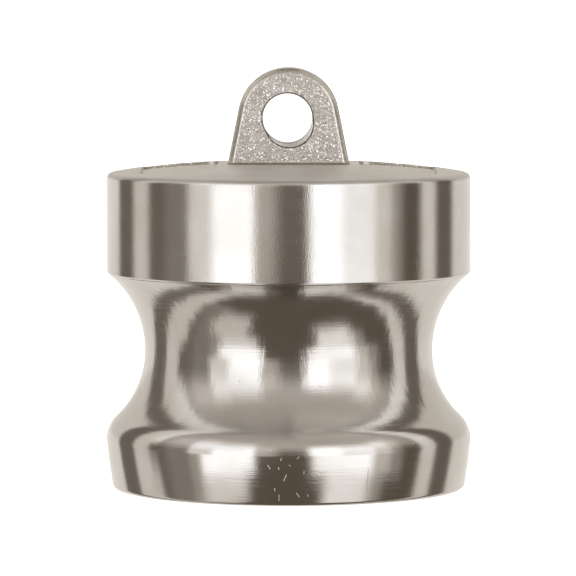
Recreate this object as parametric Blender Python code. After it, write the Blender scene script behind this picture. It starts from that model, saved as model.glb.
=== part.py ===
"""Dust plug for a 2 inch cam-and-groove coupler: one stainless steel casting, turned outside.

Metres, +Z up. The origin is the centre of the nose's end face. +Z runs along the plug's axis,
from the nose to the lug, and X runs across the lug.
"""

import math

import bmesh
import bpy

MM = 0.001
SEGMENTS = 72  # flats round every turned surface

# Nose: the round end that goes into the coupler and presses on its gasket.
NOSE_RADIUS = 31.5 * MM
SHOULDER_HEIGHT = 8.4 * MM  # from the end face to where the nose is widest
SHOULDER_ROUND = 5.4 * MM
NOSE_SETBACK = 0.45 * MM  # how far the side has come in at the taper's top
TAPER_HEIGHT = 4.5 * MM
TAPER_SETBACK = 0.7 * MM  # how far the taper comes in from its top to the end face
END_ROUND = 0.8 * MM

# Groove: the neck that the coupler's two cam arms bear in.
GROOVE_DEPTH = 6.65 * MM
LOWER_GROOVE_ROUND = 15.7 * MM
UPPER_GROOVE_ROUND = 17.3 * MM

# Head: the plain band above the groove, with a slightly crowned top.
HEAD_SETBACK = 0.15 * MM  # how much further in than the nose the head is turned
HEAD_HEIGHT = 18.85 * MM  # from the head's lower edge to the middle of its top
HEAD_EDGE_CHAMFER = 0.25 * MM
RIM_ROUND = 1.1 * MM
CROWN_FLAT_RADIUS = 14.0 * MM
CROWN_ROUND = 94.0 * MM

# Lug: the eye on top that a keeper ring or chain is hung from.
LUG_HOLE_RADIUS = 4.4 * MM
LUG_RIM = 4.35 * MM  # metal round the hole
LUG_HOLE_HEIGHT = 7.9 * MM  # above the middle of the top
LUG_THICKNESS = 6.0 * MM
LUG_LEAN = math.radians(11.2)
LUG_EDGE_ROUND = 0.9 * MM

# Pockets: two shallow recesses left as cast, one each side of the lug.
POCKET_LENGTH = 30.0 * MM
POCKET_DEPTH = 0.6 * MM
POCKET_CORNER = 2.0 * MM
LUG_LAND = 1.7 * MM  # top surface left between a pocket and the lug
RIM_LAND = 0.9 * MM  # top surface left between a pocket's corner and the rim's round

# Hollow: cast into the nose to save metal, widening slightly so that its core could be drawn.
NECK_WALL = 3.0 * MM
TOP_WALL = 5.5 * MM
HOLLOW_DRAFT = math.radians(2)
HOLLOW_CORNER = 6.0 * MM
MOUTH_CHAMFER = 0.6 * MM

# Worked out from the sizes above. The neck's arc touches the shoulder's, which sets its height.
HEAD_RADIUS = NOSE_RADIUS - HEAD_SETBACK
NECK_RADIUS = NOSE_RADIUS - GROOVE_DEPTH
ARC_REACH = LOWER_GROOVE_ROUND + SHOULDER_ROUND  # between the two arcs' centres
ARC_TURN = math.acos((ARC_REACH - GROOVE_DEPTH) / ARC_REACH)
GROOVE_HEIGHT = SHOULDER_HEIGHT + ARC_REACH * math.sin(ARC_TURN)
OVERRUN = 5 * MM  # how far a cutter runs past what it cuts


def clear_scene():
    for old in list(bpy.data.objects):
        bpy.data.objects.remove(old, do_unlink=True)


def arc(centre, radius, start, end, steps):
    """Points (r, z) on an arc round centre, from one angle to another, both ends included."""
    r, z = centre
    angles = [start + (end - start) * step / steps for step in range(steps + 1)]
    return [(r + radius * math.cos(angle), z + radius * math.sin(angle)) for angle in angles]


def tangent_round(before, corner, after, radius, steps):
    """The round of this radius that touches both lines of a corner, as points."""
    to_before = math.atan2(before[1] - corner[1], before[0] - corner[0])
    to_after = math.atan2(after[1] - corner[1], after[0] - corner[0])
    half = (to_after - to_before) % math.tau / 2
    turn = 1 if half < math.pi / 2 else -1
    half = half if turn == 1 else math.pi - half
    middle = to_before + turn * half
    reach = radius / math.sin(half)
    centre = (corner[0] + reach * math.cos(middle), corner[1] + reach * math.sin(middle))
    first = to_before - turn * math.pi / 2
    last = first - turn * (math.pi - 2 * half)
    return arc(centre, radius, first, last, steps)


def nose_profile():
    """From the end face's outer edge up to where the shoulder runs into the groove."""
    taper_top = (NOSE_RADIUS - NOSE_SETBACK, TAPER_HEIGHT)
    end_corner = (taper_top[0] - TAPER_SETBACK, 0.0)
    shoulder_centre = (NOSE_RADIUS - SHOULDER_ROUND, SHOULDER_HEIGHT)
    points = tangent_round((0.0, 0.0), end_corner, taper_top, END_ROUND, 4)
    points.append(taper_top)
    points += arc(shoulder_centre, SHOULDER_ROUND, 0.0, ARC_TURN, 4)
    return points


def groove_profile():
    """From the shoulder, round the neck, to the head's lower edge."""
    lower_centre = (NECK_RADIUS + LOWER_GROOVE_ROUND, GROOVE_HEIGHT)
    upper_centre = (NECK_RADIUS + UPPER_GROOVE_ROUND, GROOVE_HEIGHT)
    upper_end = math.pi - upper_groove_angle()
    lower = arc(lower_centre, LOWER_GROOVE_ROUND, math.pi + ARC_TURN, math.pi, 8)
    upper = arc(upper_centre, UPPER_GROOVE_ROUND, math.pi, upper_end, 10)
    return lower[1:] + upper[1:]


def upper_groove_angle():
    """How far the upper arc turns before it comes out at the head's lower edge."""
    edge_radius = HEAD_RADIUS - HEAD_EDGE_CHAMFER
    return math.acos((NECK_RADIUS + UPPER_GROOVE_ROUND - edge_radius) / UPPER_GROOVE_ROUND)


def head_edge_height():
    return GROOVE_HEIGHT + UPPER_GROOVE_ROUND * math.sin(upper_groove_angle())


def crown_height(radius):
    """The height of the top surface at this distance from the axis."""
    past_flat = max(0.0, radius - CROWN_FLAT_RADIUS)
    drop = CROWN_ROUND - math.sqrt(CROWN_ROUND**2 - past_flat**2)
    return head_edge_height() + HEAD_HEIGHT - drop


def head_profile():
    """From the head's lower edge, over the rim and the crown, to the axis."""
    top = crown_height(0.0)
    rim_r = HEAD_RADIUS - RIM_ROUND
    turn = math.asin((rim_r - CROWN_FLAT_RADIUS) / (CROWN_ROUND - RIM_ROUND))
    rim_z = top - CROWN_ROUND + (CROWN_ROUND - RIM_ROUND) * math.cos(turn)
    points = [(HEAD_RADIUS, head_edge_height() + HEAD_EDGE_CHAMFER)]
    points += arc((rim_r, rim_z), RIM_ROUND, 0.0, math.pi / 2 - turn, 5)
    crown_centre = (CROWN_FLAT_RADIUS, top - CROWN_ROUND)
    points += arc(crown_centre, CROWN_ROUND, math.pi / 2 - turn, math.pi / 2, 5)[1:]
    points.append((0.0, top))
    return points


def hollow_radius(height):
    return NECK_RADIUS - NECK_WALL + (GROOVE_HEIGHT - height) * math.tan(HOLLOW_DRAFT)


def hollow_profile():
    """From the axis at the hollow's roof, down its wall, to the end face's inner edge."""
    roof_z = crown_height(0.0) - TOP_WALL
    roof = (0.0, roof_z)
    corner = (hollow_radius(roof_z), roof_z)
    mouth = (hollow_radius(MOUTH_CHAMFER), MOUTH_CHAMFER)
    points = [roof] + tangent_round(roof, corner, mouth, HOLLOW_CORNER, 5)
    points += [mouth, (mouth[0] + MOUTH_CHAMFER, 0.0)]
    return points


def whole_section():
    """The turned body's section, from the top, round the outside, to the hollow's roof."""
    outside = nose_profile() + groove_profile() + head_profile()
    return outside[::-1] + hollow_profile()[::-1]


def new_object(name, shape):
    mesh = bpy.data.meshes.new(name)
    shape.to_mesh(mesh)
    shape.free()
    made = bpy.data.objects.new(name, mesh)
    bpy.context.scene.collection.objects.link(made)
    return made


def turned(name, profile):
    """Spins a profile, from axis to axis, into one closed body."""
    shape = bmesh.new()
    corners = [shape.verts.new((r, 0.0, z)) for r, z in profile]
    edges = [shape.edges.new(pair) for pair in zip(corners, corners[1:])]
    bmesh.ops.spin(
        shape,
        geom=corners + edges,
        cent=(0, 0, 0),
        axis=(0, 0, 1),
        angle=math.tau,
        steps=SEGMENTS,
    )
    bmesh.ops.remove_doubles(shape, verts=shape.verts[:], dist=1e-6)
    bmesh.ops.recalc_face_normals(shape, faces=shape.faces[:])
    return new_object(name, shape)


def loft(shape, rings):
    """Joins rings of points, each with as many points, and closes both ends."""
    layers = [[shape.verts.new(point) for point in ring] for ring in rings]
    for low, high in zip(layers, layers[1:]):
        for index, corner in enumerate(low):
            shape.faces.new((low[index - 1], corner, high[index], high[index - 1]))
    shape.faces.new(layers[0])
    shape.faces.new(layers[-1])
    bmesh.ops.recalc_face_normals(shape, faces=shape.faces[:])


def lug_half_width(height):
    """Half the lug's width on its leaning sides, at this height."""
    hole_z = crown_height(0.0) + LUG_HOLE_HEIGHT
    return (LUG_HOLE_RADIUS + LUG_RIM) / math.cos(LUG_LEAN) + (hole_z - height) * math.tan(LUG_LEAN)


def lug_outline(inset):
    """The lug seen from the front, (x, z), with its sides and round top moved in by inset."""
    hole_z = crown_height(0.0) + LUG_HOLE_HEIGHT
    foot_z = crown_height(0.0) - TOP_WALL / 2
    foot_x = lug_half_width(foot_z) - inset / math.cos(LUG_LEAN)
    top = arc((0.0, hole_z), LUG_HOLE_RADIUS + LUG_RIM - inset, LUG_LEAN, math.pi - LUG_LEAN, 20)
    return [(foot_x, foot_z)] + top + [(-foot_x, foot_z)]


def add_lug():
    half = LUG_THICKNESS / 2
    rounding = arc((half - LUG_EDGE_ROUND, 0.0), LUG_EDGE_ROUND, 0.0, math.pi / 2, 3)
    front = [(LUG_EDGE_ROUND - rise, -depth) for depth, rise in rounding]
    back = [(inset, -y) for inset, y in reversed(front)]
    rings = []
    for inset, y in front + back:
        rings.append([(x, y, z) for x, z in lug_outline(inset)])
    shape = bmesh.new()
    loft(shape, rings)
    return new_object("lug", shape)


def add_hole_cutter():
    centre_z = crown_height(0.0) + LUG_HOLE_HEIGHT
    reach = LUG_THICKNESS / 2 + OVERRUN
    circle = arc((0.0, centre_z), LUG_HOLE_RADIUS, 0.0, math.tau, 40)[:-1]
    shape = bmesh.new()
    loft(shape, [[(x, y, z) for x, z in circle] for y in (-reach, reach)])
    return new_object("lug_hole_cutter", shape)


def pocket_stations():
    """(x, half length along Y) of the slices that make up a pocket, with its corners rounded."""
    half = POCKET_LENGTH / 2
    inner_x = lug_half_width(crown_height(0.0)) + LUG_LAND
    outer_x = math.sqrt((HEAD_RADIUS - RIM_ROUND - RIM_LAND) ** 2 - half**2)
    corner = min(POCKET_CORNER, (outer_x - inner_x) / 2)
    inner = arc((inner_x + corner, half - corner), corner, math.pi, math.pi / 2, 4)
    outer = arc((outer_x - corner, half - corner), corner, math.pi / 2, 0.0, 4)
    return inner + [((inner_x + outer_x) / 2, half)] + outer


def add_pocket_cutter(name, side):
    """A cutter whose lower face is the crown, lowered by the pocket's depth."""
    shape = bmesh.new()
    rows = 9
    top_z = crown_height(0.0) + OVERRUN
    rings = []
    for x, half in pocket_stations():
        ys = [half * (2 * row / (rows - 1) - 1) for row in range(rows)]
        floor = [(side * x, y, crown_height(math.hypot(x, y)) - POCKET_DEPTH) for y in ys]
        roof = [(side * x, y, top_z) for y in reversed(ys)]
        rings.append(floor + roof)
    loft(shape, rings)
    return new_object(name, shape)


def combine(body, other, operation):
    """Joins or cuts one shape with a Boolean that stays live, and hides the helper."""
    step = body.modifiers.new(other.name, "BOOLEAN")
    step.operation = operation
    step.solver = "EXACT"
    step.object = other
    other.hide_render = True
    other.display_type = "WIRE"


def stainless_steel():
    material = bpy.data.materials.new("stainless_steel")
    material.use_nodes = True
    shader = material.node_tree.nodes["Principled BSDF"]
    shader.inputs["Base Color"].default_value = (0.52, 0.48, 0.43, 1.0)
    shader.inputs["Metallic"].default_value = 1.0
    shader.inputs["Roughness"].default_value = 0.25
    return material


def build():
    clear_scene()
    body = turned("plug_body", whole_section())
    combine(body, add_lug(), "UNION")
    combine(body, add_hole_cutter(), "DIFFERENCE")
    combine(body, add_pocket_cutter("left_pocket_cutter", -1), "DIFFERENCE")
    combine(body, add_pocket_cutter("right_pocket_cutter", 1), "DIFFERENCE")
    body.data.materials.append(stainless_steel())
    body.data.shade_smooth()
    body.data.set_sharp_from_angle(angle=math.radians(30))


build()
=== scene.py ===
# %% [markdown]
# # A stainless steel dust plug
#
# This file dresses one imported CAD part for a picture: the dust plug that closes a 2 inch
# cam-and-groove hose coupler. The real plug is a single investment casting. A lathe has cut its
# nose, groove and head bright, and the lug, two shallow pockets on top and the hollow in the nose
# keep the grey, shot-blasted skin that they came out of the mould with.
#
# The lesson goes the way the plug was made: first the turned body, then the cast lug and the cast
# pockets, then one Boolean that makes a single casting of them, then the two finishes, and last
# the studio. The CAD model is loaded first, because it says how big everything is.

# %% Load the frame
import collections
import math

import bmesh
import bpy
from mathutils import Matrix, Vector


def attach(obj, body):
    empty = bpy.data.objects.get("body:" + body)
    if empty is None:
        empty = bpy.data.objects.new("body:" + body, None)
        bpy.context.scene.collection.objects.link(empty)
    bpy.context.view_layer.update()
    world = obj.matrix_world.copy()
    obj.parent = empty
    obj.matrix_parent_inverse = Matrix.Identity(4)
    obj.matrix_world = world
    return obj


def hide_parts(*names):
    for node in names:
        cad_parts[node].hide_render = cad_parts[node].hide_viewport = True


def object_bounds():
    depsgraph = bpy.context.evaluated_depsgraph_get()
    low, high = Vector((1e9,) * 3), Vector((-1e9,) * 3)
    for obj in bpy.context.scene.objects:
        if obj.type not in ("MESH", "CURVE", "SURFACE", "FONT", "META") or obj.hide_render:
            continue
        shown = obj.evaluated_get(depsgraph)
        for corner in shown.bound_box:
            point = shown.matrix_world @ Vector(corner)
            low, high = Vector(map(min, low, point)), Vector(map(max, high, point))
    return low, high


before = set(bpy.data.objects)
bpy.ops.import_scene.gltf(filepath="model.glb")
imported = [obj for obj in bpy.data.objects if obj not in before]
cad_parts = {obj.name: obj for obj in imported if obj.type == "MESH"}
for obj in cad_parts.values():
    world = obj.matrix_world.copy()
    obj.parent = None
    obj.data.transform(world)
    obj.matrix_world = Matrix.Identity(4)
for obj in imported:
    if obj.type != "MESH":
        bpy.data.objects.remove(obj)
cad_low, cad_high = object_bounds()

MM = 0.001
print("CAD box in mm:", [round(v / MM, 2) for v in (*cad_low, *cad_high)])

# %% [markdown]
# ## Sizes
#
# The widest radius, the plug's height and the hole's place come from the frame. The other sizes
# are those of the CAD model, written once here so that the fine surface follows the same outline.
# A lathe operator would read them off a drawing: the nose, the groove that the cam arms press
# into, and the plain head.

# %% Sizes from the frame and from the drawing
NOSE_RADIUS = cad_high.x
SHOULDER_HEIGHT = 8.4 * MM
SHOULDER_ROUND = 5.4 * MM
NOSE_SETBACK = 0.45 * MM
TAPER_HEIGHT = 4.5 * MM
TAPER_SETBACK = 0.7 * MM
END_ROUND = 0.8 * MM

GROOVE_DEPTH = 6.65 * MM
LOWER_GROOVE_ROUND = 15.7 * MM
UPPER_GROOVE_ROUND = 17.3 * MM

HEAD_RADIUS = NOSE_RADIUS - 0.15 * MM
HEAD_HEIGHT = 18.85 * MM
HEAD_EDGE_CHAMFER = 0.25 * MM
RIM_ROUND = 1.1 * MM
CROWN_FLAT_RADIUS = 14.0 * MM
CROWN_ROUND = 94.0 * MM

LUG_HOLE_RADIUS = 4.4 * MM
LUG_RIM = 4.35 * MM
LUG_THICKNESS = 6.0 * MM
LUG_LEAN = math.radians(11.2)

POCKET_LENGTH = 30.0 * MM
POCKET_DEPTH = 0.6 * MM
POCKET_CORNER = 2.0 * MM
LUG_LAND = 1.7 * MM
RIM_LAND = 0.9 * MM

NECK_WALL = 3.0 * MM
TOP_WALL = 5.5 * MM
HOLLOW_DRAFT = math.radians(2)
HOLLOW_CORNER = 6.0 * MM
MOUTH_CHAMFER = 0.6 * MM

NECK_RADIUS = NOSE_RADIUS - GROOVE_DEPTH
ARC_REACH = LOWER_GROOVE_ROUND + SHOULDER_ROUND
ARC_TURN = math.acos((ARC_REACH - GROOVE_DEPTH) / ARC_REACH)
GROOVE_HEIGHT = SHOULDER_HEIGHT + ARC_REACH * math.sin(ARC_TURN)
HEAD_EDGE_RADIUS = HEAD_RADIUS - HEAD_EDGE_CHAMFER
UPPER_TURN = math.acos((NECK_RADIUS + UPPER_GROOVE_ROUND - HEAD_EDGE_RADIUS) / UPPER_GROOVE_ROUND)
HEAD_EDGE_HEIGHT = GROOVE_HEIGHT + UPPER_GROOVE_ROUND * math.sin(UPPER_TURN)
TOP_HEIGHT = HEAD_EDGE_HEIGHT + HEAD_HEIGHT
HOLE_HEIGHT = cad_high.z - LUG_RIM - LUG_HOLE_RADIUS
print("top of the head at", round(TOP_HEIGHT / MM, 2), "mm, hole at", round(HOLE_HEIGHT / MM, 2), "mm")

# %% [markdown]
# ## Helpers
#
# A few small functions serve every step. `node` adds one node to any node tree, with its settings,
# values and links. `colour` turns an sRGB hex value, which is how a colour is read off a sample,
# into the linear numbers that a shader needs. `new_tree` and `socket` start a Geometry Nodes tree
# and give it named inputs, and `bake` runs such a tree on a mesh and hands back a plain mesh.
# `outward` closes a mesh: it merges the doubled points and turns every face to the outside.

# %% Helpers for nodes and meshes
def node(tree, kind, inputs=(), **settings):
    """Adds a node. Inputs are values, or the outputs of other nodes."""
    made = tree.nodes.new(kind)
    for name, value in settings.items():
        setattr(made, name, value)
    for key, value in dict(inputs).items():
        if isinstance(value, bpy.types.Node):
            value = value.outputs[0]
        if isinstance(value, bpy.types.NodeSocket):
            tree.links.new(value, made.inputs[key])
        else:
            made.inputs[key].default_value = value
    return made


def colour(hex_code):
    """An sRGB hex colour as linear red, green, blue and alpha."""
    linear = []
    for at in (1, 3, 5):
        value = int(hex_code[at : at + 2], 16) / 255
        linear.append(value / 12.92 if value <= 0.04045 else ((value + 0.055) / 1.055) ** 2.4)
    return (*linear, 1.0)


def new_tree(name):
    """A Geometry Nodes tree with its geometry input and output."""
    tree = bpy.data.node_groups.new(name, "GeometryNodeTree")
    tree.interface.new_socket("Geometry", in_out="INPUT", socket_type="NodeSocketGeometry")
    tree.interface.new_socket("Geometry", in_out="OUTPUT", socket_type="NodeSocketGeometry")
    return tree


def socket(tree, name, kind, value=None):
    made = tree.interface.new_socket(name, in_out="INPUT", socket_type="NodeSocket" + kind)
    if value is not None:
        made.default_value = value


def link_object(name, mesh):
    made = bpy.data.objects.new(name, mesh)
    bpy.context.scene.collection.objects.link(made)
    return made


def plain_mesh(worker):
    """The evaluated mesh of an object, which is then removed."""
    graph = bpy.context.evaluated_depsgraph_get()
    mesh = bpy.data.meshes.new_from_object(worker.evaluated_get(graph), depsgraph=graph)
    bpy.data.objects.remove(worker)
    return mesh


def bake(name, mesh, tree, values):
    """Runs a tree on a mesh, with its named inputs set, and gives a plain mesh."""
    worker = link_object(name, mesh)
    step = worker.modifiers.new(name, "NODES")
    step.node_group = tree
    for item in tree.interface.items_tree:
        if item.item_type == "SOCKET" and item.in_out == "INPUT" and item.name in values:
            step[item.identifier] = values[item.name]
    return plain_mesh(worker)


def outward(mesh, merge=1e-7):
    """Merges doubled points and turns every face outwards."""
    shape = bmesh.new()
    shape.from_mesh(mesh)
    bmesh.ops.remove_doubles(shape, verts=shape.verts[:], dist=merge)
    bmesh.ops.recalc_face_normals(shape, faces=shape.faces[:])
    shape.to_mesh(mesh)
    open_edges = sum(1 for edge in shape.edges if len(edge.link_faces) != 2)
    print(mesh.name, "has", len(shape.faces), "faces,", open_edges, "open edges")
    shape.free()
    return mesh


# %% [markdown]
# ## Materials, named before they are made
#
# A tree that makes a mesh also says which faces carry which finish, so the two materials exist
# before their nodes do. Their nodes come after the modelling, in their own lessons.

# %% Two empty materials
turned_steel = bpy.data.materials.new("316 stainless steel, fine-turned and buffed")
cast_steel = bpy.data.materials.new("316 stainless steel, investment-cast and shot-blasted")

# %% [markdown]
# ## The section of the turned body
#
# A lathe makes a shape from one line: the section. Here it runs from the middle of the top, over
# the crowned face and the rim, down the head, through the two arcs of the groove, round the
# shoulder and the nose, and back up the hollow to its roof. It could be drawn as a curve by hand,
# but arcs worked out from the sizes stay exact when a size changes. Each point also says whether
# the metal there is turned (0) or as cast (1).

# %% Arcs and rounds
def arc(centre, radius, start, end, steps):
    """Points (r, z) on an arc, both ends included."""
    angles = [start + (end - start) * step / steps for step in range(steps + 1)]
    return [(centre[0] + radius * math.cos(a), centre[1] + radius * math.sin(a)) for a in angles]


def tangent_round(before, corner, after, radius, steps):
    """The round of this radius that touches both lines of a corner."""
    to_before = math.atan2(before[1] - corner[1], before[0] - corner[0])
    to_after = math.atan2(after[1] - corner[1], after[0] - corner[0])
    half = (to_after - to_before) % math.tau / 2
    turn = 1 if half < math.pi / 2 else -1
    half = half if turn == 1 else math.pi - half
    middle = to_before + turn * half
    reach = radius / math.sin(half)
    centre = (corner[0] + reach * math.cos(middle), corner[1] + reach * math.sin(middle))
    first = to_before - turn * math.pi / 2
    return arc(centre, radius, first, first - turn * (math.pi - 2 * half), steps)


def divided(start, end, steps):
    """Points between two ends, without them."""
    shares = [step / steps for step in range(1, steps)]
    return [(start[0] + (end[0] - start[0]) * s, start[1] + (end[1] - start[1]) * s) for s in shares]


def crown_height(radius):
    past_flat = max(0.0, radius - CROWN_FLAT_RADIUS)
    return TOP_HEIGHT - CROWN_ROUND + math.sqrt(CROWN_ROUND**2 - past_flat**2)


# %% The section, from the top round to the hollow's roof
def nose_section():
    taper_top = (NOSE_RADIUS - NOSE_SETBACK, TAPER_HEIGHT)
    end_corner = (taper_top[0] - TAPER_SETBACK, 0.0)
    rounded = tangent_round((0.0, 0.0), end_corner, taper_top, END_ROUND, 8)
    shoulder_centre = (NOSE_RADIUS - SHOULDER_ROUND, SHOULDER_HEIGHT)
    return rounded + [taper_top] + arc(shoulder_centre, SHOULDER_ROUND, 0.0, ARC_TURN, 12)


def groove_section():
    lower_centre = (NECK_RADIUS + LOWER_GROOVE_ROUND, GROOVE_HEIGHT)
    upper_centre = (NECK_RADIUS + UPPER_GROOVE_ROUND, GROOVE_HEIGHT)
    lower = arc(lower_centre, LOWER_GROOVE_ROUND, math.pi + ARC_TURN, math.pi, 20)
    return lower[1:] + arc(upper_centre, UPPER_GROOVE_ROUND, math.pi, math.pi - UPPER_TURN, 24)[1:]


def head_section():
    rim_r = HEAD_RADIUS - RIM_ROUND
    turn = math.asin((rim_r - CROWN_FLAT_RADIUS) / (CROWN_ROUND - RIM_ROUND))
    rim_z = TOP_HEIGHT - CROWN_ROUND + (CROWN_ROUND - RIM_ROUND) * math.cos(turn)
    low_edge = (HEAD_RADIUS, HEAD_EDGE_HEIGHT + HEAD_EDGE_CHAMFER)
    rim = arc((rim_r, rim_z), RIM_ROUND, 0.0, math.pi / 2 - turn, 8)
    crown_centre = (CROWN_FLAT_RADIUS, TOP_HEIGHT - CROWN_ROUND)
    crown = arc(crown_centre, CROWN_ROUND, math.pi / 2 - turn, math.pi / 2, 12)[1:]
    flat = divided(crown[-1], (0.0, TOP_HEIGHT), 6)
    return [low_edge] + rim + crown + flat + [(0.0, TOP_HEIGHT)]


def hollow_section():
    """From the hollow's roof, on the axis, down its wall to the end face."""
    def wall(height):
        return NECK_RADIUS - NECK_WALL + (GROOVE_HEIGHT - height) * math.tan(HOLLOW_DRAFT)

    roof_z = TOP_HEIGHT - TOP_WALL
    mouth = (wall(MOUTH_CHAMFER), MOUTH_CHAMFER)
    corner = tangent_round((0.0, roof_z), (wall(roof_z), roof_z), mouth, HOLLOW_CORNER, 10)
    roof = [(0.0, roof_z)] + divided((0.0, roof_z), corner[0], 8)
    return roof + corner + divided(corner[-1], mouth, 24) + [mouth, (mouth[0] + MOUTH_CHAMFER, 0.0)]


outside = (nose_section() + groove_section() + head_section())[::-1]
hollow = hollow_section()[::-1]
section = [(r, z, 0.0) for r, z in outside] + [(r, z, float(z > 0.0)) for r, z in hollow]
print("the section has", len(section), "points")

# %% [markdown]
# ## Turning it
#
# Spinning the section could be done with the Screw modifier. Geometry Nodes do it here, because
# the tree can also read the as-cast mark of each point and give the hollow its own finish and its
# slightly wavy skin. The section becomes a curve, and Curve to Mesh sweeps it round a small
# circle. The small circle's radius is taken off the section first, so the sweep ends at the true
# radius, and the points that meet on the axis are merged. Curve to Mesh lays a profile's Y axis
# downwards here, so the heights change sign on the way in.

# %% The turning tree
def turning_tree():
    tree = new_tree("turn a section")
    socket(tree, "Flats Round", "Int", 64)
    socket(tree, "Spindle Radius", "Float", 1.0)
    socket(tree, "Skin Wave", "Float", 0.0)
    socket(tree, "Wave Width", "Float", 1.0)
    socket(tree, "Turned Finish", "Material")
    socket(tree, "Cast Finish", "Material")
    given = node(tree, "NodeGroupInput").outputs
    place = node(tree, "ShaderNodeSeparateXYZ", {0: node(tree, "GeometryNodeInputPosition")})
    values = {0: place.outputs["X"], 1: given["Spindle Radius"]}
    inward = node(tree, "ShaderNodeMath", values, operation="SUBTRACT")
    upright = node(tree, "ShaderNodeMath", {0: 0.0, 1: place.outputs["Z"]}, operation="SUBTRACT")
    laid_out = node(tree, "ShaderNodeCombineXYZ", {"X": inward, "Y": upright})
    line = node(tree, "GeometryNodeMeshToCurve", {"Mesh": given["Geometry"]})
    flat = node(tree, "GeometryNodeSetPosition", {"Geometry": line, "Position": laid_out})
    circle = node(
        tree,
        "GeometryNodeCurvePrimitiveCircle",
        {"Resolution": given["Flats Round"], "Radius": given["Spindle Radius"]},
    )
    values = {"Curve": circle.outputs["Curve"], "Profile Curve": flat}
    swept = node(tree, "GeometryNodeCurveToMesh", values)
    merged = node(tree, "GeometryNodeMergeByDistance", {"Geometry": swept, "Distance": 0.001 * MM})
    as_cast = node(tree, "GeometryNodeInputNamedAttribute", {"Name": "as_cast"}, data_type="FLOAT")
    scale = node(tree, "ShaderNodeMath", {0: 1.0, 1: given["Wave Width"]}, operation="DIVIDE")
    ripple = node(tree, "ShaderNodeTexNoise", {"Scale": scale, "Detail": 2.0})
    centred = node(tree, "ShaderNodeMath", {0: ripple.outputs[0], 1: 0.5}, operation="SUBTRACT")
    height = node(tree, "ShaderNodeMath", {0: centred, 1: given["Skin Wave"]}, operation="MULTIPLY")
    masked = node(tree, "ShaderNodeMath", {0: height, 1: as_cast}, operation="MULTIPLY")
    push = node(
        tree,
        "ShaderNodeVectorMath",
        {0: node(tree, "GeometryNodeInputNormal"), "Scale": masked},
        operation="SCALE",
    )
    waved = node(tree, "GeometryNodeSetPosition", {"Geometry": merged, "Offset": push})
    realised = node(tree, "GeometryNodeRealizeInstances", {"Geometry": waved})
    values = {"Geometry": realised, "Material": given["Turned Finish"]}
    turned = node(tree, "GeometryNodeSetMaterial", values)
    is_cast = node(
        tree,
        "FunctionNodeCompare",
        {0: as_cast, 1: 0.5},
        data_type="FLOAT",
        operation="GREATER_THAN",
    )
    dressed = node(
        tree,
        "GeometryNodeSetMaterial",
        {"Geometry": turned, "Selection": is_cast, "Material": given["Cast Finish"]},
    )
    node(tree, "NodeGroupOutput", {"Geometry": dressed})
    return tree


def section_mesh():
    mesh = bpy.data.meshes.new("section")
    links = [(index, index + 1) for index in range(len(section) - 1)]
    mesh.from_pydata([(r, 0.0, z) for r, z, _ in section], links, [])
    marks = mesh.attributes.new("as_cast", "FLOAT", "POINT")
    for index, (_, _, cast) in enumerate(section):
        marks.data[index].value = cast
    return mesh


turned_body = bake(
    "turned_body",
    section_mesh(),
    turning_tree(),
    {
        "Flats Round": 288,
        "Spindle Radius": 1 * MM,
        "Skin Wave": 0.12 * MM,
        "Wave Width": 3 * MM,
        "Turned Finish": turned_steel,
        "Cast Finish": cast_steel,
    },
)
outward(turned_body)
corner = [max(vertex.co[axis] for vertex in turned_body.vertices) for axis in range(3)]
print("turned body reaches, in mm:", [round(reach / MM, 3) for reach in corner])

# %% [markdown]
# ## The cast lug
#
# The lug is the tab that a chain or a lanyard is tied to. It leans in towards its round top, and
# its edges are soft, because molten steel doesn't fill a sharp corner of the mould. Bevelling
# every edge and fillet by hand would be long work. Here plain solids are only put together, and
# a voxel remesh followed by smoothing melts them into one soft casting with a fillet at its
# foot.

# %% Plain solids for the lug
LUG_VOXEL = 0.15 * MM
LUG_SMOOTHING = 24
LUG_EDGE_BREAK = 0.85 * MM


def loft(name, rings, finish=None):
    """A closed solid that joins rings of points, all with the same number of points."""
    shape = bmesh.new()
    loops = [[shape.verts.new(point) for point in ring] for ring in rings]
    for before, after in zip(loops, loops[1:]):
        for index in range(len(before)):
            follow = (index + 1) % len(before)
            shape.faces.new((before[index], before[follow], after[follow], after[index]))
    shape.faces.new(loops[0][::-1])
    shape.faces.new(loops[-1])
    bmesh.ops.recalc_face_normals(shape, faces=shape.faces[:])
    mesh = bpy.data.meshes.new(name)
    shape.to_mesh(mesh)
    shape.free()
    if finish:
        mesh.materials.append(finish)
    return mesh


def lug_half_width(height):
    return (LUG_HOLE_RADIUS + LUG_RIM) / math.cos(LUG_LEAN) + (HOLE_HEIGHT - height) * math.tan(LUG_LEAN)


def lug_outline(inset):
    """The lug seen from the front, (x, z), with its sides and round top moved in by inset."""
    foot_z = TOP_HEIGHT - TOP_WALL / 2
    foot_x = lug_half_width(foot_z) - inset / math.cos(LUG_LEAN)
    top = arc((0.0, HOLE_HEIGHT), LUG_HOLE_RADIUS + LUG_RIM - inset, LUG_LEAN, math.pi - LUG_LEAN, 40)
    return [(foot_x, foot_z)] + top + [(-foot_x, foot_z)]


def lug_rings():
    """Rings from the lug's front to its back, with a broken edge at each face."""
    half = LUG_THICKNESS / 2
    stations = [
        (-half, LUG_EDGE_BREAK),
        (LUG_EDGE_BREAK - half, 0.0),
        (half - LUG_EDGE_BREAK, 0.0),
        (half, LUG_EDGE_BREAK),
    ]
    return [[(x, y, z) for x, z in lug_outline(inset)] for y, inset in stations]


# %% Casting the lug
def boolean(target, other, operation, solver="EXACT"):
    step = target.modifiers.new(other.name, "BOOLEAN")
    step.operation = operation
    step.solver = solver
    step.object = other


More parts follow.
